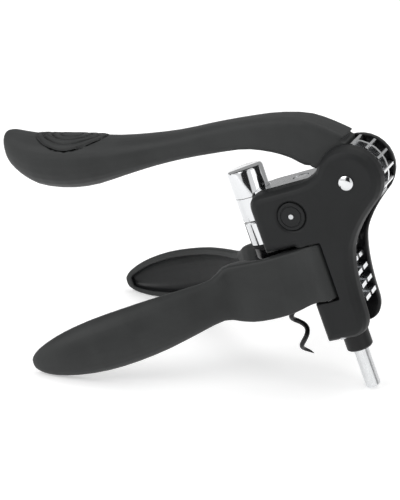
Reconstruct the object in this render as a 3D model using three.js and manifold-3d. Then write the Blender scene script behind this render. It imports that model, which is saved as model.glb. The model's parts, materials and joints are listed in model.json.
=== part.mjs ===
// Lever corkscrew: a lever with a pinion drives a rack, a guide rod and a spinning worm between two
// housing cheeks, and two swinging clamp handles grip the bottle's neck.
// The tool is drawn upright first: Z runs up the worm's axis, which is X = 0 and Y = 0, the lever's
// pivot is at height 0 and towards +X, and the clamp handles reach out towards -X.
// At the end the tool leans forward until it stands on its guide rod and both clamp handles.
import * as THREE from 'three';
import { mergeVertices } from 'three/addons/utils/BufferGeometryUtils.js';
import Module from 'manifold-3d';

const wasm = await Module();
wasm.setup();

// ---- Driving dimensions, in millimetres and degrees ----
const gap = 0.35; // between pieces that touch in the real tool
const slide = 0.45; // between pieces that move on each other

const gearModule = 2.5;
const gearTeeth = 14;
const missingTeeth = 3; // left out where the lever's root meets the pinion
const firstToothAngle = 174; // of the pinion's tooth beside the rack, with the lever forward
const pressureAngle = 14.5;
const backlash = 0.5; // taken off each tooth's thickness
const gearHalfWidth = 10.2;
const ribHalfWidth = 1.15;

const rodX = 32.5; // guide rod's axis
const rodRadius = 4.6;
const rodBottom = -129.5;
const sleeveRadius = 11.25; // chrome collar, cap and sleeve around the worm
const capTop = 20.8;
const capSeam = 4;
const collarBottom = -10.1;
const bridgeTop = 6.5;
const bridgeBottom = -3.4;

const wormRadius = 4.9;
const wireRadius = 1.55;
const wormPitch = 19.7;
const wormTipZ = -102.7;

const cheekThickness = 10;
const housingBottom = -92.4;
const housingTop = 6.2;
const columnFront = 20.9;
const housingFront = 1.9;
const bushingRadius = 8.1;
const bushingBottom = -104.2;

const neckRadius = 14.25; // of the bottle neck that the jaws close on
const closeAngle = 8; // from the open jaws, as drawn, to the gripped neck
const padThickness = 1.8;
const hingeX = 31;
const hingeY = 16.5;
const barrelRadius = 6.8;
const hingePinRadius = 2;
const clampTop = -31;
const clampBottom = -65.4;
const gripReach = 141; // from the worm's axis to the grip's end
const gripWall = 3;
const gripRim = 4.2;

const leverReach = 148.6; // from the worm's axis to the lever's end
const tangHalfWidth = 4;
const tangReach = 46; // from the pivot
const padLength = 46;
const padWidth = 27;
const padProud = 0.8;

// ---- Worked out from them ----
const pitchRadius = (gearModule * gearTeeth) / 2;
const tipRadius = pitchRadius + gearModule;
const rootRadius = pitchRadius - gearModule;
const toothPitch = Math.PI * gearModule;
const halfTooth = (toothPitch / 2 - backlash) / 2;
const rackTipDepth = 0.8 * gearModule; // short rack teeth clear the pinion's roots
const rackRootDepth = 1.2 * gearModule;
const rackBody = 4.6;
const rackBack = rodX + rodRadius + 3.6;
const pitchLineX = rackBack + rackBody + rackRootDepth;
const pivotX = pitchLineX + pitchRadius;
const cheekInner = sleeveRadius + gap;
const cheekOuter = cheekInner + cheekThickness;
const rootHalfWidth = cheekInner - slide;
const boreRadius = rodRadius + gap;
const headRadius = tipRadius + 0.3;
const pinRadius = 3;

// ---- Geometry helpers ----
const radians = THREE.MathUtils.degToRad;
const v2 = (x, y) => new THREE.Vector2(x, y);
const polar = (degrees, radius) => v2(pivotX + radius * Math.cos(radians(degrees)),
  radius * Math.sin(radians(degrees)));

// One closed mesh with only its positions, turned so that its faces point outwards.
function closed(geometry) {
  const bare = geometry.clone();
  bare.deleteAttribute('normal');
  bare.deleteAttribute('uv');
  const merged = mergeVertices(bare, 1e-4);
  const position = merged.attributes.position;
  const index = merged.index.array;
  const kept = [];
  let volume = 0;
  const [a, b, c] = [new THREE.Vector3(), new THREE.Vector3(), new THREE.Vector3()];
  for (let i = 0; i < index.length; i += 3) {
    const [i0, i1, i2] = [index[i], index[i + 1], index[i + 2]];
    if (i0 === i1 || i1 === i2 || i2 === i0) continue;
    a.fromBufferAttribute(position, i0);
    b.fromBufferAttribute(position, i1);
    c.fromBufferAttribute(position, i2);
    volume += a.dot(b.cross(c));
    kept.push(i0, i1, i2);
  }
  if (volume < 0) kept.reverse();
  merged.setIndex(kept);
  return merged;
}

// Boolean solid of a closed geometry; a solid that is already one passes through.
function toSolid(shape) {
  if (shape instanceof wasm.Manifold) return shape;
  const merged = closed(shape);
  return new wasm.Manifold(new wasm.Mesh({
    numProp: 3,
    vertProperties: new Float32Array(merged.attributes.position.array),
    triVerts: new Uint32Array(merged.index.array),
  }));
}

function toGeometry(shape) {
  if (!(shape instanceof wasm.Manifold)) return closed(shape);
  const { vertProperties, triVerts } = shape.getMesh();
  const geometry = new THREE.BufferGeometry();
  geometry.setAttribute('position', new THREE.Float32BufferAttribute(vertProperties, 3));
  geometry.setIndex(Array.from(triVerts));
  return geometry;
}

// Joins the first list of shapes and cuts the second list out of them.
function joined(parts, cuts = []) {
  let solid = toSolid(parts[0]);
  for (const part of parts.slice(1)) solid = solid.add(toSolid(part));
  for (const cut of cuts) solid = solid.subtract(toSolid(cut));
  return solid;
}

// The left piece's twin on the right: a reflection turns every face over, so each is turned back.
function mirrored(shape) {
  const geometry = toGeometry(shape).clone().scale(1, -1, 1);
  geometry.setIndex(Array.from(geometry.index.array).reverse());
  return geometry;
}

const block = (x0, x1, y0, y1, z0, z1) => new THREE.BoxGeometry(x1 - x0, y1 - y0, z1 - z0)
  .translate((x0 + x1) / 2, (y0 + y1) / 2, (z0 + z1) / 2);

// Upright cylinder between two heights.
const post = (x, y, radius, z0, z1, sides = 24) => new THREE.CylinderGeometry(radius, radius, z1 - z0, sides)
  .rotateX(Math.PI / 2).translate(x, y, (z0 + z1) / 2);

// Cylinder lying across the tool, from y0 to y1.
const crossPin = (x, z, radius, y0, y1, sides = 24) => (
  new THREE.CylinderGeometry(radius, radius, y1 - y0, sides).translate(x, (y0 + y1) / 2, z));

// Solid of revolution about the upright axis, from [radius, height] pairs.
const turned = (profile, sides = 24) => new THREE.LatheGeometry(profile.map(([r, z]) => v2(r, z)), sides)
  .rotateX(Math.PI / 2);

const ring = (inner, outer, z0, z1, sides = 24) => turned(
  [[inner, z0], [outer, z0], [outer, z1], [inner, z1], [inner, z0]], sides);

// Plate lying in the XZ plane, from y0 to y1.
const plate = (shape, y0, y1, curveSegments = 12) => new THREE.ExtrudeGeometry(shape, {
  depth: y1 - y0, bevelEnabled: false, curveSegments,
}).rotateX(Math.PI / 2).translate(0, y1, 0);

// Skin through rings: place(t, a, b) puts the unit circle's point (a, b) at station t from 0 to 1.
function loft(place, sides, steps) {
  const geometry = new THREE.CylinderGeometry(1, 1, 1, sides, steps);
  const position = geometry.attributes.position;
  for (let i = 0; i < position.count; i += 1) {
    const point = place(position.getY(i) + 0.5, position.getX(i), position.getZ(i));
    position.setXYZ(i, point.x, point.y, point.z);
  }
  return geometry;
}

// Squarer than a circle as the power rises above 2; a root of rounding noise is kept at 0.
const squared = (value, power) => (Math.abs(value) < 1e-6 ? 0
  : Math.sign(value) * Math.abs(value) ** (2 / power));

// ---- Lever ----
// Stations along the lever: share of its reach, top, bottom, half width, squareness.
const leverStations = [
  { top: [-0.989, 79.6], bottom: [-0.998, 70], half: 3.5, power: 2 },
  { top: [-0.968, 83], bottom: [-0.994, 63], half: 7.5, power: 2.1 },
  { top: [-0.936, 82.7], bottom: [-0.969, 56.6], half: 10.5, power: 2.2 },
  { top: [-0.896, 79.8], bottom: [-0.927, 49.6], half: 13, power: 2.2 },
  { top: [-0.832, 75.6], bottom: [-0.866, 43.2], half: 15.3, power: 2.2 },
  { top: [-0.735, 71.2], bottom: [-0.755, 37.5], half: 16.5, power: 2.2 },
  { top: [-0.621, 66.3], bottom: [-0.634, 35.1], half: 16.5, power: 2.2 },
  { top: [-0.487, 60.1], bottom: [-0.49, 35.9], half: 15, power: 2.3 },
  { top: [-0.349, 55.8], bottom: [-0.349, 36.4], half: 13.2, power: 2.4 },
  { top: [-0.208, 52.6], bottom: [-0.211, 35.7], half: 12, power: 2.6 },
  { top: [-0.064, 51.1], bottom: [-0.074, 33.8], half: rootHalfWidth, power: 3 },
];
// The root's stations keep their distance from the pivot.
const rootStations = [
  { top: [-54.8, 48.9], bottom: [-58.8, 31.5], half: rootHalfWidth, power: 3.5 },
  { top: [-35.6, 46], bottom: [-44.8, 26.4], half: rootHalfWidth, power: 4 },
  { top: [-17.7, 40.4], bottom: [-33.7, 20.2], half: rootHalfWidth, power: 5 },
  { top: [-5.7, 32.4], bottom: [-26.2, 13.7], half: rootHalfWidth, power: 6 },
  { top: [3.9, 24], bottom: [-20.6, 12.1], half: rootHalfWidth, power: 7 },
];
const alongLever = (pair) => v2(pair[0] * leverReach, pair[1]);
const fromPivot = (pair) => v2(pivotX + pair[0], pair[1]);
const leverTop = new THREE.SplineCurve([
  ...leverStations.map((s) => alongLever(s.top)), ...rootStations.map((s) => fromPivot(s.top))]);
const leverBottom = new THREE.SplineCurve([
  ...leverStations.map((s) => alongLever(s.bottom)), ...rootStations.map((s) => fromPivot(s.bottom))]);
const leverSection = new THREE.SplineCurve(
  [...leverStations, ...rootStations].map((s) => v2(s.half, s.power)));

// Lever's body, grown on every side by an offset.
function leverBody(offset, sides, steps) {
  return loft((t, a, b) => {
    const high = leverTop.getPoint(t);
    const low = leverBottom.getPoint(t);
    const section = leverSection.getPoint(t);
    const up = high.clone().sub(low).normalize();
    const halfHeight = high.distanceTo(low) / 2 + offset;
    const middle = high.clone().add(low).multiplyScalar(0.5);
    const rise = squared(a, section.y) * halfHeight;
    return new THREE.Vector3(middle.x + up.x * rise, squared(b, section.y) * (section.x + offset),
      middle.y + up.y * rise);
  }, sides, steps);
}

// Root between the cheeks: it follows the pinion's hub, past its last tooth and short of the rack.
const rootAngles = { behindTeeth: 83, behindRack: 152 };
function leverRoot() {
  const { behindTeeth, behindRack } = rootAngles;
  const hubGap = rootRadius + gap;
  const inside = 0.985; // share of the lever where the root starts, within its end
  const [high, low] = [leverTop.getPoint(inside), leverBottom.getPoint(inside)];
  const shape = new THREE.Shape();
  shape.moveTo(...high.lerp(low, 0.15));
  shape.lineTo(...polar(behindTeeth - 2, tipRadius + 0.8));
  shape.lineTo(...polar(behindTeeth, hubGap));
  shape.absarc(pivotX, 0, hubGap, radians(behindTeeth), radians(behindRack), false);
  shape.lineTo(...low);
  return plate(shape, -rootHalfWidth, rootHalfWidth);
}

// The tang runs from the pinion into the lever along this line.
const tangAngle = 131;
const tangHalfHeight = 4.5;
function tangPlate(grow) {
  const length = tangReach - 8;
  return block(8, 8 + length + grow, -tangHalfWidth - grow, tangHalfWidth + grow,
    -tangHalfHeight - grow, tangHalfHeight + grow)
    .rotateY(-radians(tangAngle)).translate(pivotX, 0, 0);
}
const leverSides = 24;
const leverPins = [27, 39].map((reach) => polar(tangAngle, reach));
const leverPinRadius = 2;
const leverPinHalf = tangHalfWidth + 4; // blind, so that the lever's sides stay plain

// The thumb pad follows the lever's crown inside an oval that stands square to the crown.
const padT = (leverStations.findIndex((s) => s.top[0] > -0.7) - 0.5)
  / (leverStations.length + rootStations.length - 1);
function padOval(grow) {
  const centre = leverTop.getPoint(padT);
  const slope = leverTop.getTangent(padT).angle();
  const oval = new THREE.Shape();
  oval.absellipse(0, 0, padLength / 2 + grow, padWidth / 2 + grow, 0, 2 * Math.PI);
  return new THREE.ExtrudeGeometry(oval, { depth: 18, bevelEnabled: false, curveSegments: 14 })
    .translate(0, 0, -12).rotateY(-slope).translate(centre.x, 0, centre.y);
}

function leverHandle() {
  const inset = leverBody(-1.6, leverSides, 24);
  const pocket = joined([padOval(gap)], [inset]);
  const cuts = [pocket, tangPlate(gap)];
  for (const pin of leverPins) {
    cuts.push(crossPin(pin.x, pin.y, leverPinRadius + gap, -leverPinHalf - gap, leverPinHalf + gap, 16));
  }
  return joined([leverBody(0, leverSides, 32), leverRoot()], cuts);
}

function thumbPad() {
  const skin = toSolid(padOval(0)).intersect(toSolid(leverBody(padProud, leverSides, 32)));
  const cuts = [leverBody(-1.6 + gap, leverSides, 24)];
  for (const share of [0.36, 0.58, 0.8]) {
    const [outer, inner] = [share - 1, share - 1 - 0.045].map((s) => padOvalRing(s));
    cuts.push(joined([outer], [inner, leverBody(0.1, leverSides, 24)]));
  }
  return joined([skin], cuts);
}
function padOvalRing(shrink) {
  return padOval((shrink * padWidth) / 2);
}

// ---- Pinion and rack ----
const involute = (angle) => Math.tan(angle) - angle;
function pinion() {
  const baseRadius = pitchRadius * Math.cos(radians(pressureAngle));
  const step = 360 / gearTeeth;
  const flankRadii = [rootRadius, baseRadius, baseRadius + 1, pitchRadius + 0.9, tipRadius];
  // Half of the tooth's angle at a radius.
  const halfAngle = (radius) => {
    const at = Math.acos(Math.min(1, baseRadius / radius));
    const half = halfTooth / pitchRadius + involute(radians(pressureAngle)) - involute(at);
    return THREE.MathUtils.radToDeg(half);
  };
  const teeth = gearTeeth - missingTeeth;
  const shape = new THREE.Shape();
  const first = polar(firstToothAngle - step / 2, rootRadius);
  shape.moveTo(first.x, first.y);
  for (let i = 0; i < teeth; i += 1) {
    const centre = firstToothAngle + i * step;
    for (const radius of flankRadii) shape.lineTo(...polar(centre - halfAngle(radius), radius));
    for (const radius of flankRadii.toReversed()) shape.lineTo(...polar(centre + halfAngle(radius), radius));
    shape.lineTo(...polar(centre + step / 2, rootRadius));
  }
  const start = firstToothAngle + (teeth - 0.5) * step;
  shape.absarc(pivotX, 0, rootRadius, radians(start), radians(firstToothAngle - step / 2 + 360), false);
  const rib = new THREE.Shape();
  rib.moveTo(pivotX, 0);
  rib.absarc(pivotX, 0, tipRadius - 0.5, radians(firstToothAngle - 4),
    radians(firstToothAngle + (teeth - 1) * step + 4), false);
  rib.lineTo(pivotX, 0);
  return joined([plate(shape, -gearHalfWidth, gearHalfWidth), plate(rib, -ribHalfWidth, ribHalfWidth, 10),
    tangPlate(0)], [crossPin(pivotX, 0, pinRadius + gap, -20, 20),
    ...leverPins.map((pin) => crossPin(pin.x, pin.y, leverPinRadius + gap, -20, 20, 16))]);
}

const rackTop = 0.7;
const rackTeeth = 10;
const topToothZ = pitchRadius * radians(180 - firstToothAngle) - toothPitch / 2;
const rackBottom = topToothZ - (rackTeeth - 1) * toothPitch - halfTooth;
const rackScrewY = 5.5;
const rackScrewX = rackBack + rackBody / 2;
const screwRadius = 0.9;
function rack() {
  const slope = Math.tan(radians(pressureAngle));
  const rootX = pitchLineX - rackRootDepth;
  const tipX = pitchLineX + rackTipDepth;
  const shape = new THREE.Shape();
  shape.moveTo(rackBack, rackTop);
  shape.lineTo(rackBack, rackBottom);
  shape.lineTo(rootX, rackBottom);
  for (let i = rackTeeth - 1; i >= 0; i -= 1) {
    const z = topToothZ - i * toothPitch;
    const [wide, narrow] = [halfTooth + rackRootDepth * slope, halfTooth - rackTipDepth * slope];
    if (i < rackTeeth - 1) shape.lineTo(rootX, z - wide);
    shape.lineTo(tipX, z - narrow);
    shape.lineTo(tipX, z + narrow);
    if (i > 0) shape.lineTo(rootX, z + wide);
  }
  shape.lineTo(rootX, rackTop);
  const grooveHalf = ribHalfWidth + slide;
  const groove = block(rootX, tipX + 2, -grooveHalf, grooveHalf, rackBottom - 2, rackTop + 2);
  const holes = [-1, 1].map((side) => (
    post(rackScrewX, side * rackScrewY, screwRadius + gap, -8, rackTop + 1, 12)));
  return joined([plate(shape, -gearHalfWidth, gearHalfWidth)], [groove, ...holes]);
}

// ---- Carriage ----
const headTop = 9.8;
const shankRadius = 3.2;
const shankBottom = -7;
function carriageBridge() {
  const half = rootHalfWidth - 0.2;
  const arm = block(6, rackBack + rackBody - 0.3, -half, half, bridgeBottom, bridgeTop);
  const cuts = [
    post(0, 0, sleeveRadius + gap, capSeam, bridgeTop + 1, 36),
    post(0, 0, wormRadius + slide, collarBottom - 1, capSeam + 1),
    post(rodX, 0, boreRadius, bridgeBottom - 1, bridgeTop + 1),
    block(rackBack - gap, rackBack + 12, -half - 1, half + 1, bridgeBottom - 1, rackTop + gap),
  ];
  for (const side of [-1, 1]) {
    cuts.push(post(rackScrewX, side * rackScrewY, screwRadius + gap, rackTop - 1, bridgeTop + 1, 12));
    cuts.push(post(rackScrewX, side * rackScrewY, 1.8 + gap, bridgeTop - 2, bridgeTop + 1, 16));
  }
  return joined([arm, post(0, 0, sleeveRadius, collarBottom, capSeam, 36)], cuts);
}

const rackScrew = (side) => turned([[0, -7], [screwRadius, -7], [screwRadius, bridgeTop - 1.7],
  [1.8, bridgeTop - 1.7], [1.8, bridgeTop - 0.3], [0, bridgeTop - 0.3]], 12)
  .translate(rackScrewX, side * rackScrewY, 0);

const capInnerRadius = 8.2;
const washerThickness = 1;
const headBottom = capSeam + gap + washerThickness + gap;
const upperWasher = headTop + gap;
const capCeiling = upperWasher + washerThickness + gap;
const wormCap = () => turned([
  [capInnerRadius, capSeam + gap], [sleeveRadius, capSeam + gap], [sleeveRadius, capTop - 1.6],
  [sleeveRadius - 0.5, capTop - 0.5], [sleeveRadius - 1.6, capTop], [0, capTop],
  [0, capCeiling], [capInnerRadius, capCeiling], [capInnerRadius, capSeam + gap]], 32);
const washer = (z) => ring(shankRadius + gap, capInnerRadius - gap, z, z + washerThickness);

const guideRod = () => turned([[0, rodBottom], [rodRadius - 1, rodBottom], [rodRadius, rodBottom + 1],
  [rodRadius, bridgeTop - 0.8], [rodRadius - 0.6, bridgeTop - 0.2], [0, bridgeTop - 0.2]], 32)
  .translate(rodX, 0, 0);

// ---- Worm ----
const wormShank = () => joined([turned([
  [0, shankBottom], [shankRadius, shankBottom], [shankRadius, headBottom],
  [capInnerRadius - 0.8, headBottom], [capInnerRadius - 0.8, headTop], [0, headTop]])],
[post(0, 0, wireRadius + gap, shankBottom - 1, -2, 12)]);

function wormHelix() {
  const coil = wormRadius - wireRadius;
  const topZ = -2.5;
  const startZ = -14; // the coil is full size below this height
  const straightZ = shankBottom - 0.5;
  const tipTurn = 0.2; // places the point's turn about the axis
  const centre = (t) => {
    const z = wormTipZ + (topZ - wormTipZ) * t;
    const swell = 1 - THREE.MathUtils.smoothstep(z, startZ, straightZ);
    const turn = 2 * Math.PI * ((z - wormTipZ) / wormPitch + tipTurn);
    return new THREE.Vector3(coil * swell * Math.cos(turn), coil * swell * Math.sin(turn), z);
  };
  const span = 0.0005;
  return loft((t, a, b) => {
    const along = centre(t + span).sub(centre(t - span)).normalize();
    const across = new THREE.Vector3(0, 0, 1).cross(along);
    if (across.lengthSq() < 1e-9) across.set(1, 0, 0);
    across.normalize();
    const third = along.clone().cross(across);
    const radius = wireRadius * Math.min(1, 0.12 + 0.88 * Math.sqrt(Math.min(1, t / 0.09)));
    return centre(t).addScaledVector(across, a * radius).addScaledVector(third, b * radius);
  }, 8, 76);
}

// ---- Nut around the worm, fixed in the housing ----
const sleeveTop = -11.9;
const ringTop = -25.6;
const ringBottom = -27.6;
const guideBottom = -35;
const skirtBottom = -42;
const nutBore = wormRadius + gap;
const nutCoreRadius = 7.6;
const nutSleeve = () => ring(nutCoreRadius + gap, sleeveRadius, ringTop + gap, sleeveTop, 32);
const nutRing = () => joined([ring(nutCoreRadius + gap, sleeveRadius - 0.3, ringBottom, ringTop, 36),
  block(nutCoreRadius + 1, sleeveRadius + 5, -3, 3, ringBottom, ringTop)],
[post(0, 0, nutCoreRadius + gap, ringBottom - 1, ringTop + 1, 36)]);
const nutGuide = () => turned([
  [nutCoreRadius + gap, ringBottom - gap], [nutCoreRadius + gap, guideBottom], [9.4, guideBottom],
  [10.2, guideBottom + 0.6], [10.6, guideBottom + 2], [10.6, ringBottom - gap],
  [nutCoreRadius + gap, ringBottom - gap]], 28);
const nutCore = () => turned([
  [nutBore, skirtBottom + 1.5], [nutBore + 1.5, skirtBottom], [nutCoreRadius, skirtBottom],
  [nutCoreRadius, sleeveTop - 1], [nutBore, sleeveTop - 1], [nutBore, skirtBottom + 1.5]], 28);

// ---- Housing ----
const notchTop = clampTop + 0.5;
const notchBottom = clampBottom - 1.2;
const notchRear = hingeX + barrelRadius + 0.5;
const rivetRadius = 4.25;
const sideCap = { x: 27, z: -11, radius: 8.3, depth: 2, pin: 1.5 };
const dish = { rim: 2.3, floor: 0.7, depth: 0.7 }; // shallow hollow around the side cap
const screws = [{ x: 19, z: -22 }, { x: 37, z: -24 }, { x: 37, z: -82 }];

// Outline of one cheek at its inner rim, seen from its side, without the clamp's notch.
const neckAngle = -60; // where the head's arc meets the neck
function cheekOutline() {
  const shape = new THREE.Shape();
  const cornerZ = housingTop + 4;
  const cornerX = pivotX - Math.sqrt(headRadius ** 2 - cornerZ ** 2);
  const neck = polar(neckAngle, headRadius);
  shape.moveTo(columnFront, housingBottom + 0.6);
  shape.lineTo(pivotX - 26.5, housingBottom);
  shape.quadraticCurveTo(pivotX - 16, housingBottom + 1.5, pivotX - 15.9, housingBottom + 14.4);
  shape.bezierCurveTo(pivotX - 15.7, -64, pivotX - 14, -50, pivotX - 10.2, -40);
  shape.bezierCurveTo(pivotX - 7.5, -33.5, pivotX, -25, neck.x, neck.y);
  shape.absarc(pivotX, 0, headRadius, radians(neckAngle), Math.PI - Math.asin(cornerZ / headRadius), false);
  shape.quadraticCurveTo(cornerX - 5, housingTop, cornerX - 14, housingTop);
  shape.lineTo(housingFront + 9, housingTop);
  shape.quadraticCurveTo(housingFront, housingTop, housingFront, housingTop - 9);
  shape.lineTo(housingFront, notchTop);
  shape.lineTo(columnFront, notchTop);
  return shape;
}

const cheekCrown = { inwards: 5.5, across: 8.5 }; // the outer edge rounds off this far
function cheek() {
  const hidden = 8; // cut off again, with the inner edge's rounding
  const body = new THREE.ExtrudeGeometry(cheekOutline(), {
    depth: cheekThickness + hidden - cheekCrown.across, bevelEnabled: true,
    bevelThickness: cheekCrown.across, bevelSize: cheekCrown.inwards, bevelOffset: -cheekCrown.inwards,
    bevelSegments: 3, curveSegments: 8,
  }).rotateX(Math.PI / 2).translate(0, -cheekInner + hidden, 0);
  const cuts = [
    block(-50, 150, -cheekInner, 30, -150, 60),
    block(housingFront - 5, notchRear, -40, -5, notchBottom, notchTop),
    post(hingeX, -hingeY, hingePinRadius + gap, housingBottom - 2, clampTop + 8, 16),
    crossPin(pivotX, 0, pinRadius + gap, -cheekOuter - 1, 0),
    turned([[0, -dish.depth], [sideCap.radius + dish.floor, -dish.depth],
      [sideCap.radius + dish.rim, 0.2], [0, 0.2]], 32)
      .rotateX(Math.PI / 2).translate(sideCap.x, -cheekOuter, sideCap.z),
    crossPin(sideCap.x, sideCap.z, sideCap.radius + gap, -cheekOuter - 1, -cheekOuter + sideCap.depth, 32),
    crossPin(sideCap.x, sideCap.z, sideCap.pin + gap, -cheekOuter - 1, 0, 16),
  ];
  return joined([body], cuts);
}

const screwShaft = 1.5;
const screwHead = 3;
const screwSink = 2.4;
function rightCheek() {
  const cuts = [];
  for (const { x, z } of screws) {
    cuts.push(crossPin(x, z, screwShaft + gap, 0, cheekOuter + 1, 16));
    cuts.push(crossPin(x, z, screwHead + gap, cheekOuter - screwSink, cheekOuter + 1, 20));
  }
  return joined([mirrored(cheek())], cuts);
}
function housingScrew({ x, z }) {
  const socket = new THREE.CylinderGeometry(1.2, 1.2, 3, 6).translate(x, cheekOuter - gap, z);
  return joined([crossPin(x, z, screwShaft, 5.8, cheekOuter - screwSink + 1, 16),
    crossPin(x, z, screwHead, cheekOuter - screwSink + gap, cheekOuter - gap, 20)], [socket]);
}

function housingCore() {
  const half = cheekInner - gap;
  const rear = rackBack - slide;
  const narrow = hingeY - barrelRadius - 0.5;
  const cuts = [
    post(0, 0, sleeveRadius + gap, -60, 0, 48),
    post(rodX, 0, boreRadius, housingBottom - 2, 0),
    post(rodX, 0, bushingRadius - 1.3 + gap, housingBottom - 2, housingBottom + 6.5),
    block(sleeveRadius - 3, sleeveRadius + 5 + gap, -3 - gap, 3 + gap, ringBottom - gap, ringTop + gap),
  ];
  for (const side of [-1, 1]) {
    const [y0, y1] = side < 0 ? [-half - 1, -narrow] : [narrow, half + 1];
    cuts.push(block(0, notchRear, y0, y1, notchBottom, notchTop));
    cuts.push(crossPin(sideCap.x, sideCap.z, sideCap.pin + gap, side < 0 ? -half - 1 : 6,
      side < 0 ? -6 : half + 1, 16));
  }
  for (const { x, z } of screws) cuts.push(crossPin(x, z, screwShaft + gap, 5.4, half + 1, 16));
  return joined([block(9, rear, -half, half, -36, bridgeBottom - slide),
    block(columnFront, rear, -half, half, housingBottom + 0.8, -35)], cuts);
}

const rodBushing = () => turned([
  [boreRadius, bushingBottom + 1], [boreRadius + 1, bushingBottom], [bushingRadius - 1, bushingBottom],
  [bushingRadius, bushingBottom + 1], [bushingRadius, housingBottom - gap],
  [bushingRadius - 1.3, housingBottom - gap], [bushingRadius - 1.3, housingBottom + 6],
  [boreRadius, housingBottom + 6], [boreRadius, bushingBottom + 1]], 28).translate(rodX, 0, 0);

const pivotPin = () => crossPin(pivotX, 0, pinRadius, -cheekOuter + 0.2, cheekOuter - 0.2);
const pivotWasher = () => ring(pinRadius + gap, 6.5, gearHalfWidth + gap, cheekInner - gap)
  .rotateX(Math.PI / 2).translate(pivotX, 0, 0);
const pivotRivet = () => turned([[0, gap], [rivetRadius, gap], [rivetRadius, 0.7], [rivetRadius - 0.9, 1.3],
  [rivetRadius - 2.2, 1.65], [0, 1.8]], 32).rotateX(Math.PI / 2).translate(pivotX, -cheekOuter, 0);
function sideCapDisc() {
  const { radius, depth, pin, x, z } = sideCap;
  return turned([
    [pin + gap, gap], [radius, gap], [radius, depth - 0.2], [radius - 0.4, depth + 0.2],
    [radius - 1.6, depth + 0.2],
    [radius - 1.9, depth - 0.3], [radius - 2.3, depth - 0.3], [radius - 2.6, depth + 0.2],
    [pin + gap, depth + 0.2], [pin + gap, gap]], 28)
    .rotateX(Math.PI / 2).translate(x, -cheekOuter + depth, z);
}
const sideCapPin = () => crossPin(sideCap.x, sideCap.z, sideCap.pin, -cheekOuter - 0.4, -6.6, 16);
const hingePin = () => post(hingeX, -hingeY, hingePinRadius, housingBottom + 1, clampTop + 7.6, 16);

// ---- Clamps ----
// Stations from the hinge to the grip's end, on the left side: [along, out] is the middle of the jaw
// block and then the grip's rim; inner and outer are the thicknesses to each side of it.
const blockStations = [
  { at: [29, 17], top: clampTop - 0.2, bottom: clampBottom, inner: 5, outer: 5.4, power: 8 },
  { at: [20, 17.6], top: clampTop - 0.7, bottom: clampBottom - 0.6, inner: 5.6, outer: 4.6, power: 8 },
  { at: [8, 18], top: clampTop - 0.6, bottom: clampBottom - 3, inner: 6, outer: 6.1, power: 8 },
  { at: [-6, 18.2], top: clampTop - 0.2, bottom: clampBottom - 3.4, inner: 6, outer: 6.3, power: 8 },
  { at: [-18, 18.6], top: clampTop + 0.5, bottom: clampBottom - 2.5, inner: 5.5, outer: 5.8, power: 7 },
  { at: [-26.5, 20.7], top: clampTop + 0.3, bottom: clampBottom, inner: 4.5, outer: 4.9, power: 4.5 },
  { at: [-34, 25.8], top: clampTop - 3.7, bottom: clampBottom + 3.9, inner: 3, outer: 6, power: 2.8 },
];
// Along the grip, [share of the reach, out].
const gripStations = [
  { at: [-0.333, 35], top: clampTop - 2.8, bottom: clampBottom + 2.9, inner: 1.8, outer: 8.8, power: 2.3 },
  { at: [-0.454, 46], top: clampTop - 1.1, bottom: clampBottom + 0.8, inner: 1.6, outer: 11.4, power: 2.1 },
  { at: [-0.582, 54.6], top: clampTop - 0.5, bottom: clampBottom - 0.1, inner: 1.5, outer: 12.3, power: 2.1 },
  { at: [-0.709, 61.4], top: clampTop - 0.8, bottom: clampBottom + 0.5, inner: 1.5, outer: 11.8, power: 2.1 },
  { at: [-0.83, 66.3], top: clampTop - 2.9, bottom: clampBottom + 3.2, inner: 1.5, outer: 9.8, power: 2.1 },
  { at: [-0.922, 69.4], top: clampTop - 6.3, bottom: clampBottom + 7.1, inner: 1.5, outer: 7.3, power: 2.1 },
  { at: [-0.976, 71], top: clampTop - 9.8, bottom: clampBottom + 11.2, inner: 1.4, outer: 4.8, power: 2 },
  { at: [-1.002, 71.6], top: clampTop - 13.1, bottom: clampBottom + 15, inner: 0.8, outer: 2, power: 2 },
];
const clampStations = [...blockStations,
  ...gripStations.map((s) => ({ ...s, at: [s.at[0] * gripReach, s.at[1]] }))];
const clampLine = new THREE.SplineCurve(clampStations.map((s) => v2(s.at[0], -s.at[1])));
const clampHeights = new THREE.SplineCurve(clampStations.map((s) => v2(s.top, s.bottom)));
const clampDepths = new THREE.SplineCurve(clampStations.map((s) => v2(s.inner, s.outer)));
const clampPower = new THREE.SplineCurve(clampStations.map((s) => v2(s.power, 0)));

// Loft between two stations, with walls taken off its edges and its outside.
function clampLoft(from, to, rim, wall, openness, sides, steps) {
  return loft((t, a, b) => {
    const u = THREE.MathUtils.lerp(from, to, t);
    const middle = clampLine.getPoint(u);
    const tangent = clampLine.getTangent(u);
    const heights = clampHeights.getPoint(u);
    const depths = clampDepths.getPoint(u);
    const power = clampPower.getPoint(u).x;
    const halfHeight = Math.max((heights.x - heights.y) / 2 - rim, 0.3);
    const outward = squared(a, power);
    const out = outward * (outward > 0 ? Math.max(depths.y - wall, 0.3) : depths.x + openness);
    return new THREE.Vector3(middle.x - tangent.y * out, middle.y + tangent.x * out,
      (heights.x + heights.y) / 2 + squared(b, power) * halfHeight);
  }, sides, steps);
}

// Axis of the gripped neck, carried round the hinge to where the open jaw holds it.
const openTurn = radians(closeAngle);
const neckX = hingeX - hingeX * Math.cos(openTurn) - hingeY * Math.sin(openTurn);
const neckY = -hingeY - hingeX * Math.sin(openTurn) + hingeY * Math.cos(openTurn);
const padTop = clampTop - 5;
const padBottom = clampBottom + 2;
const padArc = [198, 312]; // about the neck's axis
const seatRadius = neckRadius + padThickness + gap;

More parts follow.
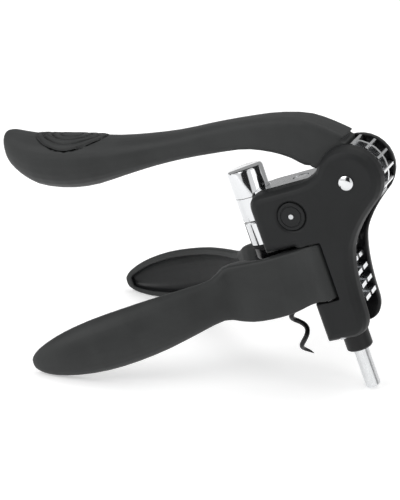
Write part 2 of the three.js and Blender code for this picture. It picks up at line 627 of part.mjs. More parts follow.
function clampHandle() {
  const barrel = post(hingeX, -hingeY, barrelRadius, clampBottom, clampTop);
  const last = clampStations.length - 1;
  const grip = [(blockStations.length - 1.2) / last, (last - 1.25) / last];
  const hollow = clampLoft(grip[0], grip[1], gripRim, gripWall, 6, 16, 14);
  const lipRadius = neckRadius + 0.9;
  return joined([clampLoft(0, 1, 0, 0, 0, 26, 28), barrel], [
    hollow,
    post(neckX, neckY, lipRadius, clampBottom - 10, clampTop + 5, 36),
    post(neckX, neckY, seatRadius, padBottom - gap, padTop + gap, 36),
    post(hingeX, -hingeY, hingePinRadius + gap, clampBottom - 5, clampTop + 5, 16),
  ]);
}

// Rubber liner: part of a ring about the gripped neck.
function jawPad() {
  const [from, to] = padArc.map(radians);
  const shape = new THREE.Shape();
  shape.absarc(neckX, neckY, neckRadius + padThickness, from, to, false);
  shape.absarc(neckX, neckY, neckRadius, to, from, true);
  return new THREE.ExtrudeGeometry(shape, {
    depth: padTop - padBottom, bevelEnabled: false, curveSegments: 12,
  }).translate(0, 0, padBottom);
}

// ---- Materials ----
const finish = (color, roughness, metalness) => (
  new THREE.MeshStandardMaterial({ color, roughness, metalness }));
const softTouch = finish(0x3c3e3f, 0.62, 0);
const housingPlastic = finish(0x2f3133, 0.58, 0);
const glossBlack = finish(0x101112, 0.2, 0);
const rubber = finish(0x1b1c1d, 0.85, 0);
const chrome = finish(0xe6e8ea, 0.12, 1);
const steel = finish(0xb9bcbf, 0.3, 1);
const satinSteel = finish(0xcfd1d2, 0.26, 1);
const coatedSteel = finish(0x141516, 0.28, 0.4);
const nylon = finish(0x1d1e20, 0.45, 0);

// ---- Assembly, upright ----
const tool = new THREE.Group();
function add(name, shape, material) {
  const mesh = new THREE.Mesh(toGeometry(shape), material);
  mesh.name = name;
  tool.add(mesh);
}
function addPair(name, build, material) {
  const left = build();
  add(`${name}_left`, left, material);
  add(`${name}_right`, mirrored(left), material);
}

add('housing_left', cheek(), housingPlastic);
add('housing_right', rightCheek(), housingPlastic);
add('housing_core', housingCore(), glossBlack);
add('rod_bushing', rodBushing(), glossBlack);
add('pivot_pin', pivotPin(), steel);
addPair('pivot_washer', pivotWasher, nylon);
addPair('pivot_rivet', pivotRivet, chrome);
addPair('side_cap', sideCapDisc, housingPlastic);
addPair('side_cap_pin', sideCapPin, steel);
addPair('hinge_pin', hingePin, steel);
screws.forEach((screw, i) => add(`housing_screw_${i + 1}`, housingScrew(screw), steel));
add('nut_sleeve', nutSleeve(), chrome);
add('nut_ring', nutRing(), rubber);
add('nut_guide', nutGuide(), glossBlack);
add('nut_core', nutCore(), nylon);

add('lever_handle', leverHandle(), softTouch);
add('lever_thumb_pad', thumbPad(), softTouch);
add('lever_pinion', pinion(), chrome);
leverPins.forEach((pin, i) => add(`lever_pin_${i + 1}`,
  crossPin(pin.x, pin.y, leverPinRadius, -leverPinHalf, leverPinHalf, 16), steel));

add('carriage_bridge', carriageBridge(), chrome);
add('worm_cap', wormCap(), chrome);
add('rack', rack(), chrome);
add('guide_rod', guideRod(), satinSteel);
addPair('rack_screw', () => rackScrew(-1), steel);
add('thrust_washer', washer(capSeam + gap), nylon);
add('cap_washer', washer(upperWasher), nylon);
add('worm_shank', wormShank(), steel);
add('worm_helix', wormHelix(), coatedSteel);

addPair('clamp_handle', clampHandle, softTouch);
addPair('jaw_pad', jawPad, rubber);

// ---- Stance: lean forward until the rod's edge and the grips stand at one height ----
function lowest(names, lean) {
  let low = Infinity;
  for (const mesh of tool.children.filter((child) => names.includes(child.name))) {
    const position = mesh.geometry.attributes.position;
    for (let i = 0; i < position.count; i += 1) {
      low = Math.min(low, position.getX(i) * Math.sin(lean) + position.getZ(i) * Math.cos(lean));
    }
  }
  return low;
}
let [upright, fallen] = [0, Math.PI / 3];
for (let i = 0; i < 50; i += 1) {
  const lean = (upright + fallen) / 2;
  if (lowest(['guide_rod'], lean) < lowest(['clamp_handle_left'], lean)) upright = lean;
  else fallen = lean;
}
const lean = (upright + fallen) / 2;

const leaning = new THREE.Group();
leaning.rotation.y = -lean;
leaning.add(tool);
const corkscrew = new THREE.Group();
corkscrew.add(leaning);
corkscrew.updateMatrixWorld(true);
const box = new THREE.Box3().setFromObject(corkscrew, true);
const centre = box.getCenter(new THREE.Vector3());
leaning.position.set(-centre.x, -centre.y, -box.min.z);

export default corkscrew;
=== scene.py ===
import json
import math

import bmesh
import bpy
from mathutils import Matrix, Vector
from mathutils.bvhtree import BVHTree


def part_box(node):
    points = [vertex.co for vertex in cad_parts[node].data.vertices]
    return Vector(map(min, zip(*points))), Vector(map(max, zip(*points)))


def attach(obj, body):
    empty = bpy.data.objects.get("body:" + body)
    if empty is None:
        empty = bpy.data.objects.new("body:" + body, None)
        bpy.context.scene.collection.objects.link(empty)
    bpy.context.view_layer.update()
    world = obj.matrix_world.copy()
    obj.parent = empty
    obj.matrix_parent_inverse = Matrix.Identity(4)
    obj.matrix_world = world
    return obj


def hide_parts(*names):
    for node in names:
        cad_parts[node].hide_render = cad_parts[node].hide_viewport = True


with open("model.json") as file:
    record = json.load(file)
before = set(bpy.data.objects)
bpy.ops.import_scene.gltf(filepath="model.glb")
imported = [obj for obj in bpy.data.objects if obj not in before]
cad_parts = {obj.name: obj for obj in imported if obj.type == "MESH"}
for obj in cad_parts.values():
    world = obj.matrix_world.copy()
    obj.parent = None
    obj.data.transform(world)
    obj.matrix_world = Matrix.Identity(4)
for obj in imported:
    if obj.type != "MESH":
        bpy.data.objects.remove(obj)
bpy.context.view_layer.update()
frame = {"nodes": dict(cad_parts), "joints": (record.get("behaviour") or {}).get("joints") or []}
nodes = frame["nodes"]
print("frame loaded:", len(nodes), "nodes")

mm = 0.001
weldGap = 2e-6  # corners this near each other, in metres, are one corner
evenOut = 0.5  # how far one round of smoothing moves a corner towards its neighbours


# The tool leans in the frame. Its own axes have x from the worm to the lever's pivot and z up the
# worm, with 0 on the worm's axis, level with the pivot.
def findTool():
    worm = next(joint for joint in frame["joints"] if joint["name"] == "worm_spin")
    up = Vector(worm["axis"]).normalized()
    return Vector(worm["pos_m"]), Vector((up.z, 0, -up.x)), Vector((0, 1, 0)), up


toolOrigin, toolX, toolY, toolZ = findTool()


def direction(x, y, z):
    return toolX * x + toolY * y + toolZ * z


def place(x, y, z):  # millimetres along the tool's axes, to a point in the frame
    return toolOrigin + direction(x, y, z) * mm


def newMaterial(name):
    material = bpy.data.materials.new(name)
    material.use_nodes = True
    tree = material.node_tree
    tree.nodes.clear()
    output = tree.nodes.new("ShaderNodeOutputMaterial")
    shader = tree.nodes.new("ShaderNodeBsdfPrincipled")
    tree.links.new(shader.outputs["BSDF"], output.inputs["Surface"])
    return material, tree, shader


def addNode(tree, kind, inputs=None, **settings):
    node = tree.nodes.new(kind)
    for key, value in settings.items():
        setattr(node, key, value)
    for key, value in (inputs or {}).items():
        if isinstance(value, bpy.types.NodeSocket):
            tree.links.new(value, node.inputs[key])
        else:
            node.inputs[key].default_value = value
    return node


def newGroup(name, inputs, outputs):
    tree = bpy.data.node_groups.new(name, "ShaderNodeTree")
    for label, kind, value in inputs:
        socket = tree.interface.new_socket(label, in_out="INPUT", socket_type=kind)
        socket.default_value = value
    for label, kind in outputs:
        tree.interface.new_socket(label, in_out="OUTPUT", socket_type=kind)
    return tree, tree.nodes.new("NodeGroupInput"), tree.nodes.new("NodeGroupOutput")


def useGroup(tree, group, inputs=None):
    return addNode(tree, "ShaderNodeGroup", inputs, node_tree=group)


def mixColours(tree, factor, first, second):
    return addNode(tree, "ShaderNodeMix", {0: factor, 6: first, 7: second}, data_type="RGBA").outputs[2]


def spread(tree, value, low, high, fromLow=0.0, fromHigh=1.0):
    return addNode(tree, "ShaderNodeMapRange", {
        "Value": value, "From Min": fromLow, "From Max": fromHigh, "To Min": low, "To Max": high,
    }).outputs["Result"]


def maths(tree, operation, first, second=0.0):
    return addNode(tree, "ShaderNodeMath", {0: first, 1: second}, operation=operation).outputs[0]


grainShape = {"pitScale": 0.55, "pitDepth": 0.5}


def makeMouldedGrain():  # a fine moulded grain, and slow changes of tone
    tree, given, out = newGroup(
        "mouldedGrain",
        [("Scale", "NodeSocketFloat", 2600.0), ("Tone Scale", "NodeSocketFloat", 45.0)],
        [("Height", "NodeSocketFloat"), ("Tone", "NodeSocketFloat")])
    coordinates = addNode(tree, "ShaderNodeTexCoord").outputs["Object"]
    fine = addNode(tree, "ShaderNodeTexNoise", {
        "Vector": coordinates, "Scale": given.outputs["Scale"], "Detail": 3.0, "Roughness": 0.65})
    pitScale = maths(tree, "MULTIPLY", given.outputs["Scale"], grainShape["pitScale"])
    pits = addNode(tree, "ShaderNodeTexVoronoi", {"Vector": coordinates, "Scale": pitScale})
    pitDepth = maths(tree, "MULTIPLY", pits.outputs["Distance"], grainShape["pitDepth"])
    height = maths(tree, "ADD", fine.outputs[0], pitDepth)
    tone = addNode(tree, "ShaderNodeTexNoise", {
        "Vector": coordinates, "Scale": given.outputs["Tone Scale"], "Detail": 4.0, "Roughness": 0.55})
    tree.links.new(height, out.inputs["Height"])
    tree.links.new(tone.outputs[0], out.inputs["Tone"])
    return tree


wearShape = {"bend": (0.86, 0.995), "patchLeast": 0.45, "patchFade": (0.35, 0.62)}


def makeEdgeWear():  # broken patches of wear along the edges, as a mask
    tree, given, out = newGroup(
        "edgeWear",
        [("Width", "NodeSocketFloat", 0.0006), ("Amount", "NodeSocketFloat", 1.0)],
        [("Mask", "NodeSocketFloat")])
    rounded = addNode(tree, "ShaderNodeBevel", {"Radius": given.outputs["Width"]}, samples=6)
    normal = addNode(tree, "ShaderNodeNewGeometry").outputs["Normal"]
    alike = addNode(tree, "ShaderNodeVectorMath", {0: rounded.outputs[0], 1: normal},
                    operation="DOT_PRODUCT")
    bent = spread(tree, alike.outputs["Value"], 1.0, 0.0, *wearShape["bend"])
    coordinates = addNode(tree, "ShaderNodeTexCoord").outputs["Object"]
    patches = addNode(tree, "ShaderNodeTexNoise", {
        "Vector": coordinates, "Scale": 180.0, "Detail": 4.0, "Roughness": 0.6})
    broken = spread(tree, patches.outputs[0], wearShape["patchLeast"], 1.0, *wearShape["patchFade"])
    mask = maths(tree, "MULTIPLY", maths(tree, "MULTIPLY", bent, broken), given.outputs["Amount"])
    tree.links.new(mask, out.inputs["Mask"])
    return tree


markShape = {
    "smearFade": (0.38, 0.72), "lineLeast": 0.5, "lineFade": (0.35, 0.7),
    "lineTurn": (0.3, 0.7, 0.2), "lineSqueeze": (1.0, 14.0, 1.0),
}


def makeHandling():  # fingermarks and faint wipe lines, as a mask
    tree, given, out = newGroup(
        "handlingMarks",
        [("Scale", "NodeSocketFloat", 60.0)],
        [("Mask", "NodeSocketFloat")])
    coordinates = addNode(tree, "ShaderNodeTexCoord").outputs["Object"]
    smears = addNode(tree, "ShaderNodeTexNoise", {
        "Vector": coordinates, "Scale": given.outputs["Scale"], "Detail": 5.0, "Roughness": 0.6,
        "Distortion": 0.8})
    lines = addNode(tree, "ShaderNodeTexNoise", {
        "Vector": addNode(tree, "ShaderNodeMapping", {
            "Vector": coordinates, "Rotation": markShape["lineTurn"],
            "Scale": markShape["lineSqueeze"]}).outputs[0],
        "Scale": 220.0, "Detail": 2.0})
    mask = maths(tree, "MULTIPLY",
                 spread(tree, smears.outputs[0], 0.0, 1.0, *markShape["smearFade"]),
                 spread(tree, lines.outputs[0], markShape["lineLeast"], 1.0, *markShape["lineFade"]))
    tree.links.new(mask, out.inputs["Mask"])
    return tree


lineShape = {"toneRange": (0.3, 0.7)}


def makeDrawLines():  # fine lines along the tool's upright axis, as drawn or ground metal has
    tree, given, out = newGroup(
        "drawLines",
        [("Fineness", "NodeSocketFloat", 2400.0), ("Stretch", "NodeSocketFloat", 0.02)],
        [("Height", "NodeSocketFloat"), ("Tone", "NodeSocketFloat")])
    coordinates = addNode(tree, "ShaderNodeTexCoord").outputs["Object"]
    lean = math.atan2(toolZ.x, toolZ.z)
    turned = addNode(tree, "ShaderNodeVectorRotate", {"Vector": coordinates, "Angle": -lean},
                     rotation_type="Y_AXIS").outputs[0]
    squeeze = addNode(tree, "ShaderNodeCombineXYZ", {0: 1.0, 1: 1.0, 2: given.outputs["Stretch"]})
    stretched = addNode(tree, "ShaderNodeVectorMath", {0: turned, 1: squeeze.outputs[0]},
                        operation="MULTIPLY").outputs[0]
    lines = addNode(tree, "ShaderNodeTexNoise", {
        "Vector": stretched, "Scale": given.outputs["Fineness"], "Detail": 3.0, "Roughness": 0.7})
    tree.links.new(lines.outputs[0], out.inputs["Height"])
    tone = spread(tree, lines.outputs[0], 0.0, 1.0, *lineShape["toneRange"])
    tree.links.new(tone, out.inputs["Tone"])
    return tree


mouldedGrain = makeMouldedGrain()
edgeWear = makeEdgeWear()
handlingMarks = makeHandling()
drawLines = makeDrawLines()
print("shader groups made")


plasticShape = {"toneFade": (0.35, 0.65), "bumpHeight": 0.00006, "sheenRough": 0.5}


def plasticLike(name, look):
    material, tree, shader = newMaterial(name)
    grain = useGroup(tree, mouldedGrain, {"Scale": look["grain"], "Tone Scale": look["toneScale"]})
    wear = useGroup(tree, edgeWear, {"Width": look["edgeWidth"], "Amount": look["edgeAmount"]})
    marks = useGroup(tree, handlingMarks, {"Scale": look["markScale"]})
    tone = spread(tree, grain.outputs["Tone"], 0.0, 1.0, *plasticShape["toneFade"])
    base = mixColours(tree, tone, (*look["dark"], 1), (*look["light"], 1))
    worn = mixColours(tree, wear.outputs["Mask"], base, (*look["edge"], 1))
    tree.links.new(worn, shader.inputs["Base Color"])
    rough = maths(tree, "ADD", spread(tree, tone, *look["rough"]),
                  maths(tree, "MULTIPLY", marks.outputs["Mask"], look["markRough"]))
    tree.links.new(rough, shader.inputs["Roughness"])
    bump = addNode(tree, "ShaderNodeBump", {
        "Strength": look["bump"], "Distance": plasticShape["bumpHeight"],
        "Height": grain.outputs["Height"]})
    tree.links.new(bump.outputs[0], shader.inputs["Normal"])
    shader.inputs["Specular IOR Level"].default_value = look["specular"]
    shader.inputs["Sheen Weight"].default_value = look["sheen"]
    shader.inputs["Sheen Roughness"].default_value = plasticShape["sheenRough"]
    return material, tree, shader, worn, rough


softTouchLook = {
    "dark": (0.02, 0.0212, 0.0212), "light": (0.029, 0.0305, 0.0305), "edge": (0.05, 0.052, 0.052),
    "grain": 2600.0, "toneScale": 38.0, "edgeWidth": 0.0007, "edgeAmount": 0.5,
    "markScale": 55.0, "rough": (0.46, 0.58), "markRough": 0.06, "bump": 0.35,
    "specular": 0.27, "sheen": 0.02,
}
housingLook = {
    "dark": (0.0095, 0.0101, 0.0105), "light": (0.0135, 0.0143, 0.0148), "edge": (0.03, 0.031, 0.032),
    "grain": 3000.0, "toneScale": 42.0, "edgeWidth": 0.0006, "edgeAmount": 0.55,
    "markScale": 60.0, "rough": (0.44, 0.56), "markRough": 0.06, "bump": 0.3,
    "specular": 0.22, "sheen": 0.01,
}
blackGlossLook = {
    "dark": (0.004, 0.004, 0.0045), "light": (0.007, 0.007, 0.008), "edge": (0.02, 0.02, 0.021),
    "grain": 900.0, "toneScale": 60.0, "edgeWidth": 0.0004, "edgeAmount": 0.4,
    "markScale": 80.0, "rough": (0.16, 0.24), "markRough": 0.15, "bump": 0.05,
    "specular": 0.5, "sheen": 0.0,
}
rubberLook = {
    "dark": (0.008, 0.008, 0.009), "light": (0.014, 0.014, 0.015), "edge": (0.03, 0.03, 0.03),
    "grain": 1800.0, "toneScale": 70.0, "edgeWidth": 0.0004, "edgeAmount": 0.4,
    "markScale": 80.0, "rough": (0.75, 0.9), "markRough": 0.05, "bump": 0.6,
    "specular": 0.3, "sheen": 0.0,
}
nylonLook = {
    "dark": (0.006, 0.006, 0.0065), "light": (0.009, 0.009, 0.0095), "edge": (0.025, 0.025, 0.026),
    "grain": 2000.0, "toneScale": 60.0, "edgeWidth": 0.0004, "edgeAmount": 0.3,
    "markScale": 80.0, "rough": (0.36, 0.46), "markRough": 0.08, "bump": 0.2,
    "specular": 0.3, "sheen": 0.0,
}
# The two looks below carry painted shade: the black painted into the grips' hollows and onto the cheeks'
# inner faces.
gripLook = {
    **softTouchLook, "hollowReach": 0.03, "innerFade": (0.58, 0.86),
    "shadeColour": (0.006, 0.006, 0.007), "innerRough": 0.22,
}
cheekLook = {
    **housingLook, "innerFade": (-0.8, -0.45),
    "shadeColour": (0.004, 0.004, 0.0045), "innerRough": 0.25,
}
# painted shade: the colour of the floors of the pad's grooves
padLook = {**softTouchLook, "grooveShadeColour": (0.003, 0.0032, 0.0032)}


def paintShadeBlack(plastic, inside, look):  # painted shade: glossy black where the mask is 1
    material, tree, shader, colour, rough = plastic
    black = mixColours(tree, inside, colour, (*look["shadeColour"], 1))
    tree.links.new(black, shader.inputs["Base Color"])
    glossy = addNode(tree, "ShaderNodeMix", {0: inside, 2: rough, 3: look["innerRough"]}).outputs[0]
    tree.links.new(glossy, shader.inputs["Roughness"])
    return material


def paintHollowShade(name, look):  # a moulding whose hollows get painted shade: glossy black where ambient occlusion finds a hollow
    plastic = plasticLike(name, look)
    tree = plastic[1]
    # painted shade: the more a point is hidden inside a hollow, the more of the glossy black it gets
    hollow = addNode(tree, "ShaderNodeAmbientOcclusion", {"Distance": look["hollowReach"]},
                     samples=12, only_local=True)
    return paintShadeBlack(plastic, spread(tree, hollow.outputs["AO"], 1.0, 0.0, *look["innerFade"]), look)


def paintCheekInsideShade(name, look):  # painted shade: a cheek's face towards the middle of the tool, between the cheeks, is glossy black
    plastic = plasticLike(name, look)
    tree = plastic[1]
    coordinates = addNode(tree, "ShaderNodeTexCoord")
    normalY = addNode(tree, "ShaderNodeSeparateXYZ", {0: coordinates.outputs["Normal"]}).outputs[1]
    placeY = addNode(tree, "ShaderNodeSeparateXYZ", {0: coordinates.outputs["Object"]}).outputs[1]
    # painted shade on the faces that look towards the middle, between the two cheeks
    outwards = maths(tree, "MULTIPLY", normalY, maths(tree, "SIGN", placeY))
    return paintShadeBlack(plastic, spread(tree, outwards, 1.0, 0.0, *look["innerFade"]), look)


def paintGrooveShade(name, look):  # painted shade: the floors of the thumb pad's grooves are darker
    material, tree, shader, colour, _ = plasticLike(name, look)
    depth = addNode(tree, "ShaderNodeAttribute", attribute_name="groove").outputs["Fac"]
    dark = mixColours(tree, depth, colour, (*look["grooveShadeColour"], 1))
    tree.links.new(dark, shader.inputs["Base Color"])
    return material


metalShape = {"markTone": 0.25, "bumpHeight": 0.00003}


def metalLike(name, look):
    material, tree, shader = newMaterial(name)
    marks = useGroup(tree, handlingMarks, {"Scale": look["markScale"]})
    wear = useGroup(tree, edgeWear, {"Width": look["edgeWidth"], "Amount": look["edgeAmount"]})
    lines = useGroup(tree, drawLines, {"Fineness": look["lines"], "Stretch": look["stretch"]})
    lineTone = maths(tree, "MULTIPLY", lines.outputs["Tone"], look["lineTone"])
    markTone = maths(tree, "MULTIPLY", marks.outputs["Mask"], metalShape["markTone"])
    base = mixColours(tree, maths(tree, "ADD", lineTone, markTone), (*look["light"], 1), (*look["dark"], 1))
    worn = mixColours(tree, wear.outputs["Mask"], base, (*look["edge"], 1))
    tree.links.new(worn, shader.inputs["Base Color"])
    rough = maths(tree, "ADD", spread(tree, lines.outputs["Tone"], *look["rough"]),
                  maths(tree, "MULTIPLY", marks.outputs["Mask"], look["markRough"]))
    tree.links.new(rough, shader.inputs["Roughness"])
    bump = addNode(tree, "ShaderNodeBump", {
        "Strength": look["bump"], "Distance": metalShape["bumpHeight"],
        "Height": lines.outputs["Height"]})
    tree.links.new(bump.outputs[0], shader.inputs["Normal"])
    shader.inputs["Metallic"].default_value = look["metallic"]
    return material


chromeLook = {
    "light": (0.72, 0.73, 0.74), "dark": (0.61, 0.62, 0.64), "edge": (0.84, 0.84, 0.85),
    "markScale": 70.0, "markRough": 0.07, "edgeWidth": 0.0003, "edgeAmount": 0.5,
    "lines": 900.0, "stretch": 0.2, "lineTone": 0.15, "rough": (0.045, 0.08),
    "bump": 0.02, "metallic": 1.0,
}
castChromeLook = {
    "light": (0.84, 0.85, 0.86), "dark": (0.7, 0.71, 0.73), "edge": (0.93, 0.93, 0.94),
    "markScale": 90.0, "markRough": 0.1, "edgeWidth": 0.0004, "edgeAmount": 0.7,
    "lines": 700.0, "stretch": 0.5, "lineTone": 0.25, "rough": (0.12, 0.2),
    "bump": 0.05, "metallic": 1.0,
}
satinLook = {
    "light": (0.8, 0.81, 0.82), "dark": (0.62, 0.63, 0.64), "edge": (0.9, 0.9, 0.91),
    "markScale": 90.0, "markRough": 0.08, "edgeWidth": 0.0004, "edgeAmount": 0.6,
    "lines": 2600.0, "stretch": 0.02, "lineTone": 0.5, "rough": (0.2, 0.32),
    "bump": 0.12, "metallic": 1.0,
}
steelLook = {
    "light": (0.62, 0.63, 0.64), "dark": (0.42, 0.43, 0.45), "edge": (0.8, 0.8, 0.8),
    "markScale": 120.0, "markRough": 0.12, "edgeWidth": 0.0003, "edgeAmount": 0.6,
    "lines": 1800.0, "stretch": 0.1, "lineTone": 0.4, "rough": (0.25, 0.38),
    "bump": 0.08, "metallic": 1.0,
}
coatedLook = {
    "light": (0.012, 0.012, 0.013), "dark": (0.007, 0.007, 0.008), "edge": (0.08, 0.08, 0.082),
    "markScale": 200.0, "markRough": 0.1, "edgeWidth": 0.0003, "edgeAmount": 0.15,
    "lines": 1500.0, "stretch": 0.3, "lineTone": 0.5, "rough": (0.2, 0.3),
    "bump": 0.05, "metallic": 0.35,
}

softTouch = plasticLike("softTouch", softTouchLook)[0]
gripMoulding = paintHollowShade("gripMoulding", gripLook)
padMoulding = paintGrooveShade("padMoulding", padLook)
cheekMoulding = paintCheekInsideShade("cheekMoulding", cheekLook)
housingPlastic = plasticLike("housingPlastic", housingLook)[0]
blackGloss = plasticLike("blackGloss", blackGlossLook)[0]
rubber = plasticLike("rubber", rubberLook)[0]
nylon = plasticLike("nylon", nylonLook)[0]
chrome = metalLike("chrome", chromeLook)
castChrome = metalLike("castChrome", castChromeLook)
satinSteel = metalLike("satinSteel", satinLook)
zincSteel = metalLike("zincSteel", steelLook)
coatedSteel = metalLike("coatedSteel", coatedLook)
print("materials made")


def makeSmoothByAngle(degrees):  # smooth shading across the edges that bend less than this
    tree = bpy.data.node_groups.new("smoothByAngle", "GeometryNodeTree")
    tree.interface.new_socket("Geometry", in_out="INPUT", socket_type="NodeSocketGeometry")
    tree.interface.new_socket("Geometry", in_out="OUTPUT", socket_type="NodeSocketGeometry")
    given, out = tree.nodes.new("NodeGroupInput"), tree.nodes.new("NodeGroupOutput")
    merge = addNode(tree, "GeometryNodeMergeByDistance", {
        "Geometry": given.outputs[0], "Distance": weldGap})
    angle = addNode(tree, "GeometryNodeInputMeshEdgeAngle").outputs["Unsigned Angle"]
    gentle = addNode(tree, "FunctionNodeCompare", {"A": angle, "B": math.radians(degrees)},
                     operation="LESS_THAN")
    faces = addNode(tree, "GeometryNodeSetShadeSmooth", {
        "Geometry": merge.outputs[0], "Shade Smooth": True}, domain="FACE")
    edges = addNode(tree, "GeometryNodeSetShadeSmooth", {
        "Geometry": faces.outputs[0], "Shade Smooth": gentle.outputs[0]}, domain="EDGE")
    tree.links.new(edges.outputs[0], out.inputs[0])
    return tree


smoothByAngle = makeSmoothByAngle(degrees=32)


def finishNode(name, material):
    node = nodes[name]
    node.data.materials.clear()
    node.data.materials.append(material)
    modifier = node.modifiers.new("smoothByAngle", "NODES")
    modifier.node_group = smoothByAngle


def softenNode(name, material, voxel, rounds):  # a moulded piece: even skin with rounded edges
    node = nodes[name]
    node.data.materials.clear()
    node.data.materials.append(material)
    weld = node.modifiers.new("weld", "WELD")
    weld.merge_threshold = weldGap
    skin = node.modifiers.new("skin", "REMESH")
    skin.mode = "VOXEL"
    skin.voxel_size = voxel * mm
    skin.use_smooth_shade = True
    relax = node.modifiers.new("relax", "SMOOTH")
    relax.factor = evenOut
    relax.iterations = rounds


# moulded pieces: material, size of the skin's voxels in millimetres, rounds of smoothing
softened = {
    "lever_handle": (softTouch, 0.6, 10),
    "clamp_handle_left": (gripMoulding, 0.65, 12),
    "clamp_handle_right": (gripMoulding, 0.65, 12),
    "housing_left": (cheekMoulding, 0.6, 5),
    "housing_right": (cheekMoulding, 0.6, 5),
}
# pieces that keep their own mesh: material
kept = {
    "housing_core": blackGloss, "rod_bushing": nylon, "pivot_pin": zincSteel,
    "pivot_washer_left": nylon, "pivot_washer_right": nylon,
    "pivot_rivet_left": chrome, "pivot_rivet_right": chrome,
    "side_cap_left": housingPlastic, "side_cap_right": housingPlastic,
    "side_cap_pin_left": zincSteel, "side_cap_pin_right": zincSteel,
    "hinge_pin_left": zincSteel, "hinge_pin_right": zincSteel,
    "housing_screw_1": zincSteel, "housing_screw_2": zincSteel, "housing_screw_3": zincSteel,
    "nut_sleeve": chrome, "nut_ring": rubber, "nut_guide": blackGloss, "nut_core": nylon,
    "lever_pinion": castChrome, "lever_pin_1": zincSteel, "lever_pin_2": zincSteel,
    "carriage_bridge": chrome, "worm_cap": chrome, "rack": castChrome, "guide_rod": satinSteel,
    "rack_screw_left": zincSteel, "rack_screw_right": zincSteel,
    "thrust_washer": nylon, "cap_washer": nylon, "worm_shank": zincSteel, "worm_helix": coatedSteel,
    "jaw_pad_left": rubber, "jaw_pad_right": rubber,
}
for name, (material, voxel, rounds) in softened.items():
    softenNode(name, material, voxel, rounds)
for name, material in kept.items():
    finishNode(name, material)
print("nodes finished")


thumbPad = {
    "rings": 60, "around": 120, "skirt": 1.6, "grow": 1.05,  # skirt and grow in millimetres
    # share of the pad's radius, and depth in millimetres; the last one is the seam round the rim
    "grooves": ((0.3, 0.8), (0.53, 0.85), (0.76, 0.85), (0.95, 0.5)),
    "grooveWidth": 0.036, "fullShade": 0.8, "edgeRound": 0.03, "edgeDrop": 0.1,
    "endPoints": 6, "lookDown": 50.0, "runOn": 4, "sharpAngle": 50, "smoothing": 2,
}


def padAxes(points, settings):  # along the pad's crown, across it, and out of it
    ends = sorted(points, key=lambda point: point.x)
    count = settings["endPoints"]
    along = sum(ends[-count:], Vector()) / count - sum(ends[:count], Vector()) / count
    along.y = 0
    along.normalize()
    across = Vector((0, 1, 0))
    return along, across, along.cross(across)


def grooveDepth(share, settings):  # how far the pad's skin is pressed in, in millimetres
    depth = sum(deep * math.exp(-((share - at) / settings["grooveWidth"]) ** 2)
                for at, deep in settings["grooves"])
    fromEdge = max(0.0, share - (1 - settings["edgeRound"])) / settings["edgeRound"]
    return depth + settings["edgeDrop"] * (1 - math.sqrt(max(0.0, 1 - fromEdge ** 2)))


def crownRings(settings):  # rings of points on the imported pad's crown, and the way out of it
    source = nodes["lever_thumb_pad"].data
    points = [vertex.co.copy() for vertex in source.vertices]
    surface = BVHTree.FromPolygons(points, [tuple(face.vertices) for face in source.polygons])
    along, across, outwards = padAxes(points, settings)
    low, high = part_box("lever_thumb_pad")
    centre = (Vector(low) + Vector(high)) / 2
    spans = [(point - centre).dot(along) for point in points]
    centre += along * (max(spans) + min(spans)) / 2
    halfLength = (max(spans) - min(spans)) / 2 + settings["grow"] * mm
    halfWidth = (high[1] - low[1]) / 2 + settings["grow"] * mm

    def crown(share, angle):
        start = (centre + along * halfLength * share * math.cos(angle)
                 + across * halfWidth * share * math.sin(angle))
        return surface.ray_cast(start + outwards * settings["lookDown"] * mm, -outwards)[0]

    runOn = settings["runOn"]
    rings = [[crown(0.0, 0.0)] * settings["around"]]
    for i in range(1, settings["rings"] + 1):
        ring = []
        for j in range(settings["around"]):
            point = crown(i / settings["rings"], 2 * math.pi * j / settings["around"])
            if point is None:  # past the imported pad's edge: straight on from the rings inside it
                inner, outer = rings[-1 - runOn][j], rings[-1][j]
                point = outer + (outer - inner) / runOn
            ring.append(point)
        rings.append(ring)
    return rings, outwards


def makeThumbPad(settings):
    # The pad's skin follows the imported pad's crown, with three oval grooves pressed into it.
    rings, outwards = crownRings(settings)
    around = settings["around"]
    skirt = outwards * settings["skirt"] * mm
    build = bmesh.new()
    grooveShade = build.verts.layers.float.new("groove")
    middle = build.verts.new(rings[0][0])
    rows = []
    for i, ring in enumerate(rings[1:], 1):
        depth = grooveDepth(i / settings["rings"], settings)
        rows.append([build.verts.new(point - outwards * depth * mm) for point in ring])
        # painted shade: the deeper a ring is pressed in, the darker its colour
        for vertex in rows[-1]:
            vertex[grooveShade] = min(1.0, depth / settings["fullShade"])
    rows.append([build.verts.new(vertex.co - skirt) for vertex in rows[-1]])
    under = build.verts.new(middle.co - skirt)
    for j in range(around):
        k = (j + 1) % around
        build.faces.new((middle, rows[0][j], rows[0][k]))
        for inner, outer in zip(rows, rows[1:]):
            build.faces.new((inner[j], outer[j], outer[k], inner[k]))
        build.faces.new((under, rows[-1][k], rows[-1][j]))
    bmesh.ops.recalc_face_normals(build, faces=build.faces)
    for face in build.faces:
        face.smooth = True
    mesh = bpy.data.meshes.new("thumbPadSkin")
    build.to_mesh(mesh)
    build.free()
    mesh.set_sharp_from_angle(angle=math.radians(settings["sharpAngle"]))
    mesh.materials.append(padMoulding)
    pad = bpy.data.objects.new("thumbPadSkin", mesh)
    bpy.context.scene.collection.objects.link(pad)
    relax = pad.modifiers.new("relax", "SMOOTH")
    relax.factor = evenOut
    relax.iterations = settings["smoothing"]
    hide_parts("lever_thumb_pad")
    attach(pad, "lever")


makeThumbPad(thumbPad)
print("thumb pad made")


cameraSettings = {  # place in millimetres along the tool's axes; back and up are directions along them
    "place": (395.0, -895.5, 185.4), "back": (0.4328, -0.8784, 0.2031), "up": (0.2238, 0.3229, 0.9196),
    "lens": 120.1, "sensor": 36.0, "clip": (0.05, 50.0),
}


